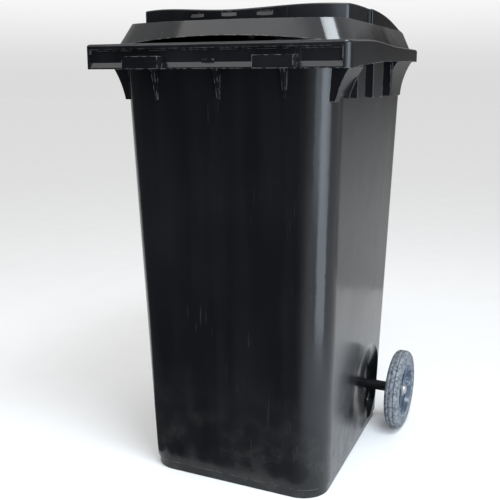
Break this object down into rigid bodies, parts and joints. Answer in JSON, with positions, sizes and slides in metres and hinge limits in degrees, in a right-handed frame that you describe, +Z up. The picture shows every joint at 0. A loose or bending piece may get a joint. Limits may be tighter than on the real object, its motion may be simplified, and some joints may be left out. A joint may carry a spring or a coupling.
{
  "type": "wheelie bin",
  "caption": "Two-wheeled black wheelie bin with a tapered container, a hinged domed lid, a rear handle bar and rubber-tyred wheels on a through axle.",
  "frame": {"origin": "on the floor under the middle of the overall box", "axes": "+Z up, front of the bin faces -Y, hinge and wheels at +Y, +X to the right seen from the front"},
  "size_m": [0.5848, 0.73, 1.064],
  "materials": {
    "body_plastic": "glossy anthracite polyethylene",
    "lid_plastic": "glossy black polyethylene",
    "pin_plastic": "satin black",
    "spacer_plastic": "satin black",
    "hub_plastic": "satin blue-black",
    "tyre_rubber": "dusty grey-black rubber",
    "axle_steel": "black painted steel",
    "washer_steel": "zinc plated",
    "cap_steel": "zinc plated"
  },
  "bodies": {
    "root": {"body": "body_plastic", "axle": "axle_steel", "left_hinge_pin": "pin_plastic", "right_hinge_pin": "pin_plastic", "left_spacer": "spacer_plastic", "right_spacer": "spacer_plastic", "left_washer": "washer_steel", "right_washer": "washer_steel", "left_axle_cap": "cap_steel", "right_axle_cap": "cap_steel"},
    "lid": {"lid": "lid_plastic"},
    "left_wheel": {"left_hub": "hub_plastic", "left_tyre": "tyre_rubber"},
    "right_wheel": {"right_hub": "hub_plastic", "right_tyre": "tyre_rubber"}
  },
  "joints": [
    {"name": "lid_hinge", "type": "hinge", "parent": "root", "child": "lid", "pos_m": [0, 0.348, 0.972], "axis": [-1, 0, 0], "range_deg": [0, 258]},
    {"name": "left_wheel_spin", "type": "hinge", "parent": "root", "child": "left_wheel", "pos_m": [-0.273, 0.217, 0.103], "axis": [1, 0, 0], "continuous": true},
    {"name": "right_wheel_spin", "type": "hinge", "parent": "root", "child": "right_wheel", "pos_m": [0.273, 0.217, 0.103], "axis": [1, 0, 0], "continuous": true}
  ]
}
